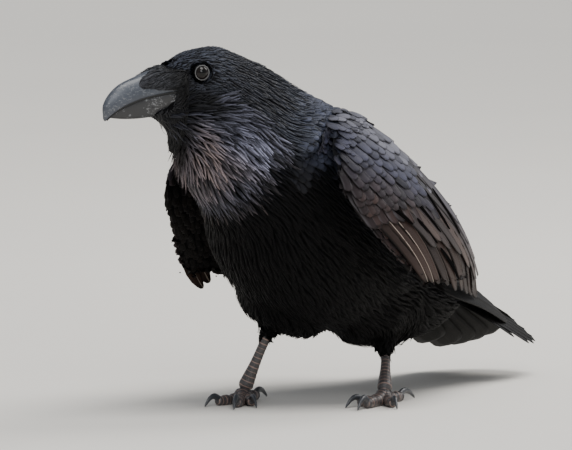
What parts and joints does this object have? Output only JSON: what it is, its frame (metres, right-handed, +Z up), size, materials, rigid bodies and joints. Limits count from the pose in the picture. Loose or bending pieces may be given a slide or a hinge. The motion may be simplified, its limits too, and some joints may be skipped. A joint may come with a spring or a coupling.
{
  "type": "standing raven model",
  "caption": "Life-size black raven standing on both feet with its head turned, wings hanging at its sides and tail sloping down behind.",
  "frame": {"origin": "on the ground under the middle of the bird's bounding box", "axes": "+Z up; the bird's body faces -Y and its left side is +X; +Y runs along its length, from the bill to the tail"},
  "size_m": [0.2252, 0.5188, 0.2985],
  "materials": {
    "body_plumage": "glossy black feathers with a blue and violet sheen",
    "wing_coverts": "overlapping satin black feathers with brownish edges",
    "flight_feathers": "satin brown-black vanes",
    "bristles": "fine black bristles combed forward",
    "bill": "polished blue-grey horn",
    "eye": "wet dark brown",
    "leg_scales": "satin black scales",
    "claw": "polished dark grey horn"
  },
  "bodies": {
    "root": {"head": "body_plumage", "neck": "body_plumage", "nostril_tuft": "bristles", "bill_upper": "bill", "bill_lower": "bill", "eye_left": "eye", "eye_right": "eye", "trunk": "body_plumage", "tail": "flight_feathers", "wing_left": "wing_coverts", "primaries_left": "flight_feathers", "thigh_left": "body_plumage", "shank_left": "leg_scales", "toe_middle_left": "leg_scales", "claw_middle_left": "claw", "toe_hind_left": "leg_scales", "claw_hind_left": "claw", "toe_inner_left": "leg_scales", "claw_inner_left": "claw", "toe_outer_left": "leg_scales", "claw_outer_left": "claw", "wing_right": "wing_coverts", "primaries_right": "flight_feathers", "thigh_right": "body_plumage", "shank_right": "leg_scales", "toe_middle_right": "leg_scales", "claw_middle_right": "claw", "toe_hind_right": "leg_scales", "claw_hind_right": "claw", "toe_inner_right": "leg_scales", "claw_inner_right": "claw", "toe_outer_right": "leg_scales", "claw_outer_right": "claw"}
  },
  "joints": []
}
